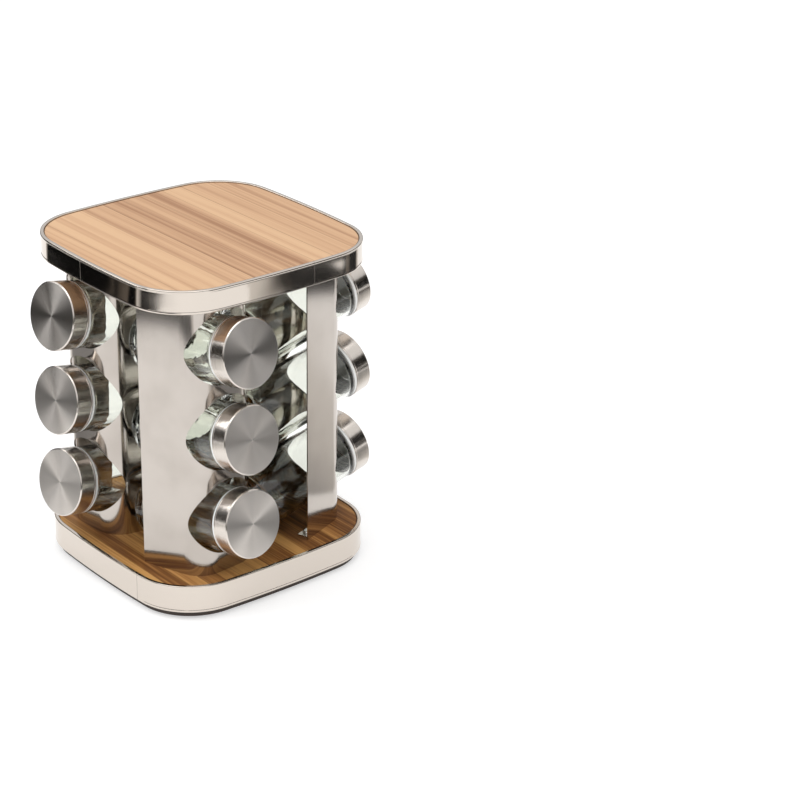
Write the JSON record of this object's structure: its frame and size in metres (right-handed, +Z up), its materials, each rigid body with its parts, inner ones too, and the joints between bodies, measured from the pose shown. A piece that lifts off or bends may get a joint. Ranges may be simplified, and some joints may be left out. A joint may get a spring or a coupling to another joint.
{
  "type": "revolving spice rack",
  "caption": "Rounded-square revolving spice rack: bent steel panels between two banded wooden boards hold tilted glass jars with steel lids.",
  "frame": {"origin": "on the floor under the centre of the rack", "axes": "+Z up, +X out of the right side, -Y out of the front, with the turntable at rest square to its foot"},
  "size_m": [0.2058, 0.2058, 0.2332],
  "materials": {
    "top_wood": "light laminate printed as narrow planks, satin",
    "base_wood": "darker laminate printed as short blocks, satin",
    "band_steel": "mirror-polished stainless strip with a rolled edge",
    "panel_steel": "bright satin stainless sheet",
    "lid_steel": "circular-brushed end face and polished edge",
    "lid_plastic": "white moulded plastic",
    "jar_glass": "clear soda glass with a slight green tint",
    "screw_steel": "bright plated screws",
    "foot_black": "near-black painted fibreboard",
    "pad_rubber": "soft black rubber",
    "race_steel": "plain pressed steel",
    "ball_steel": "polished balls",
    "cage_plastic": "natural plastic"
  },
  "bodies": {
    "foot": {"foot_board": "foot_black", "foot_pads": "pad_rubber", "lower_race": "race_steel", "lower_race_screws": "screw_steel", "pivot_bolt": "screw_steel"},
    "ball_ring": {"bearing_balls": "ball_steel", "ball_cage": "cage_plastic"},
    "rack": {"top_board": "top_wood", "top_band": "band_steel", "base_board": "base_wood", "base_band": "band_steel", "top_screws": "screw_steel", "base_screws": "screw_steel", "upper_race": "race_steel", "upper_race_screws": "screw_steel", "panel_right": "panel_steel", "panel_back": "panel_steel", "panel_left": "panel_steel", "panel_front": "panel_steel"},
    "jar_right_bottom": {"jar_right_bottom": "jar_glass"},
    "lid_right_bottom": {"lid_right_bottom": "lid_steel", "lid_liner_right_bottom": "lid_plastic"},
    "jar_right_middle": {"jar_right_middle": "jar_glass"},
    "lid_right_middle": {"lid_right_middle": "lid_steel", "lid_liner_right_middle": "lid_plastic"},
    "jar_right_top": {"jar_right_top": "jar_glass"},
    "lid_right_top": {"lid_right_top": "lid_steel", "lid_liner_right_top": "lid_plastic"},
    "jar_back_bottom": {"jar_back_bottom": "jar_glass"},
    "lid_back_bottom": {"lid_back_bottom": "lid_steel", "lid_liner_back_bottom": "lid_plastic"},
    "jar_back_middle": {"jar_back_middle": "jar_glass"},
    "lid_back_middle": {"lid_back_middle": "lid_steel", "lid_liner_back_middle": "lid_plastic"},
    "jar_back_top": {"jar_back_top": "jar_glass"},
    "lid_back_top": {"lid_back_top": "lid_steel", "lid_liner_back_top": "lid_plastic"},
    "jar_left_bottom": {"jar_left_bottom": "jar_glass"},
    "lid_left_bottom": {"lid_left_bottom": "lid_steel", "lid_liner_left_bottom": "lid_plastic"},
    "jar_left_middle": {"jar_left_middle": "jar_glass"},
    "lid_left_middle": {"lid_left_middle": "lid_steel", "lid_liner_left_middle": "lid_plastic"},
    "jar_left_top": {"jar_left_top": "jar_glass"},
    "lid_left_top": {"lid_left_top": "lid_steel", "lid_liner_left_top": "lid_plastic"},
    "jar_front_bottom": {"jar_front_bottom": "jar_glass"},
    "lid_front_bottom": {"lid_front_bottom": "lid_steel", "lid_liner_front_bottom": "lid_plastic"},
    "jar_front_middle": {"jar_front_middle": "jar_glass"},
    "lid_front_middle": {"lid_front_middle": "lid_steel", "lid_liner_front_middle": "lid_plastic"},
    "jar_front_top": {"jar_front_top": "jar_glass"},
    "lid_front_top": {"lid_front_top": "lid_steel", "lid_liner_front_top": "lid_plastic"}
  },
  "joints": [
    {"name": "turntable", "type": "hinge", "parent": "foot", "child": "rack", "pos_m": [0, 0, 0.0099], "axis": [0, 0, 1], "continuous": true},
    {"name": "ball_ring_roll", "type": "hinge", "parent": "foot", "child": "ball_ring", "pos_m": [0, 0, 0.0099], "axis": [0, 0, 1], "continuous": true},
    {"name": "jar_right_bottom_pull", "type": "slide", "parent": "rack", "child": "jar_right_bottom", "axis": [0.9762, 0.0854, 0.1994], "range_m": [0, 0.1]},
    {"name": "lid_right_bottom_lift", "type": "slide", "parent": "jar_right_bottom", "child": "lid_right_bottom", "axis": [0.9762, 0.0854, 0.1994], "range_m": [0, 0.03]},
    {"name": "jar_right_middle_pull", "type": "slide", "parent": "rack", "child": "jar_right_middle", "axis": [0.9762, 0.0854, 0.1994], "range_m": [0, 0.1]},
    {"name": "lid_right_middle_lift", "type": "slide", "parent": "jar_right_middle", "child": "lid_right_middle", "axis": [0.9762, 0.0854, 0.1994], "range_m": [0, 0.03]},
    {"name": "jar_right_top_pull", "type": "slide", "parent": "rack", "child": "jar_right_top", "axis": [0.9762, 0.0854, 0.1994], "range_m": [0, 0.1]},
    {"name": "lid_right_top_lift", "type": "slide", "parent": "jar_right_top", "child": "lid_right_top", "axis": [0.9762, 0.0854, 0.1994], "range_m": [0, 0.03]},
    {"name": "jar_back_bottom_pull", "type": "slide", "parent": "rack", "child": "jar_back_bottom", "axis": [-0.0854, 0.9762, 0.1994], "range_m": [0, 0.1]},
    {"name": "lid_back_bottom_lift", "type": "slide", "parent": "jar_back_bottom", "child": "lid_back_bottom", "axis": [-0.0854, 0.9762, 0.1994], "range_m": [0, 0.03]},
    {"name": "jar_back_middle_pull", "type": "slide", "parent": "rack", "child": "jar_back_middle", "axis": [-0.0854, 0.9762, 0.1994], "range_m": [0, 0.1]},
    {"name": "lid_back_middle_lift", "type": "slide", "parent": "jar_back_middle", "child": "lid_back_middle", "axis": [-0.0854, 0.9762, 0.1994], "range_m": [0, 0.03]},
    {"name": "jar_back_top_pull", "type": "slide", "parent": "rack", "child": "jar_back_top", "axis": [-0.0854, 0.9762, 0.1994], "range_m": [0, 0.1]},
    {"name": "lid_back_top_lift", "type": "slide", "parent": "jar_back_top", "child": "lid_back_top", "axis": [-0.0854, 0.9762, 0.1994], "range_m": [0, 0.03]},
    {"name": "jar_left_bottom_pull", "type": "slide", "parent": "rack", "child": "jar_left_bottom", "axis": [-0.9762, -0.0854, 0.1994], "range_m": [0, 0.1]},
    {"name": "lid_left_bottom_lift", "type": "slide", "parent": "jar_left_bottom", "child": "lid_left_bottom", "axis": [-0.9762, -0.0854, 0.1994], "range_m": [0, 0.03]},
    {"name": "jar_left_middle_pull", "type": "slide", "parent": "rack", "child": "jar_left_middle", "axis": [-0.9762, -0.0854, 0.1994], "range_m": [0, 0.1]},
    {"name": "lid_left_middle_lift", "type": "slide", "parent": "jar_left_middle", "child": "lid_left_middle", "axis": [-0.9762, -0.0854, 0.1994], "range_m": [0, 0.03]},
    {"name": "jar_left_top_pull", "type": "slide", "parent": "rack", "child": "jar_left_top", "axis": [-0.9762, -0.0854, 0.1994], "range_m": [0, 0.1]},
    {"name": "lid_left_top_lift", "type": "slide", "parent": "jar_left_top", "child": "lid_left_top", "axis": [-0.9762, -0.0854, 0.1994], "range_m": [0, 0.03]},
    {"name": "jar_front_bottom_pull", "type": "slide", "parent": "rack", "child": "jar_front_bottom", "axis": [0.0854, -0.9762, 0.1994], "range_m": [0, 0.1]},
    {"name": "lid_front_bottom_lift", "type": "slide", "parent": "jar_front_bottom", "child": "lid_front_bottom", "axis": [0.0854, -0.9762, 0.1994], "range_m": [0, 0.03]},
    {"name": "jar_front_middle_pull", "type": "slide", "parent": "rack", "child": "jar_front_middle", "axis": [0.0854, -0.9762, 0.1994], "range_m": [0, 0.1]},
    {"name": "lid_front_middle_lift", "type": "slide", "parent": "jar_front_middle", "child": "lid_front_middle", "axis": [0.0854, -0.9762, 0.1994], "range_m": [0, 0.03]},
    {"name": "jar_front_top_pull", "type": "slide", "parent": "rack", "child": "jar_front_top", "axis": [0.0854, -0.9762, 0.1994], "range_m": [0, 0.1]},
    {"name": "lid_front_top_lift", "type": "slide", "parent": "jar_front_top", "child": "lid_front_top", "axis": [0.0854, -0.9762, 0.1994], "range_m": [0, 0.03]}
  ],
  "couplings": [
    {"joint": "ball_ring_roll", "follows": "turntable", "ratio": 0.5}
  ]
}
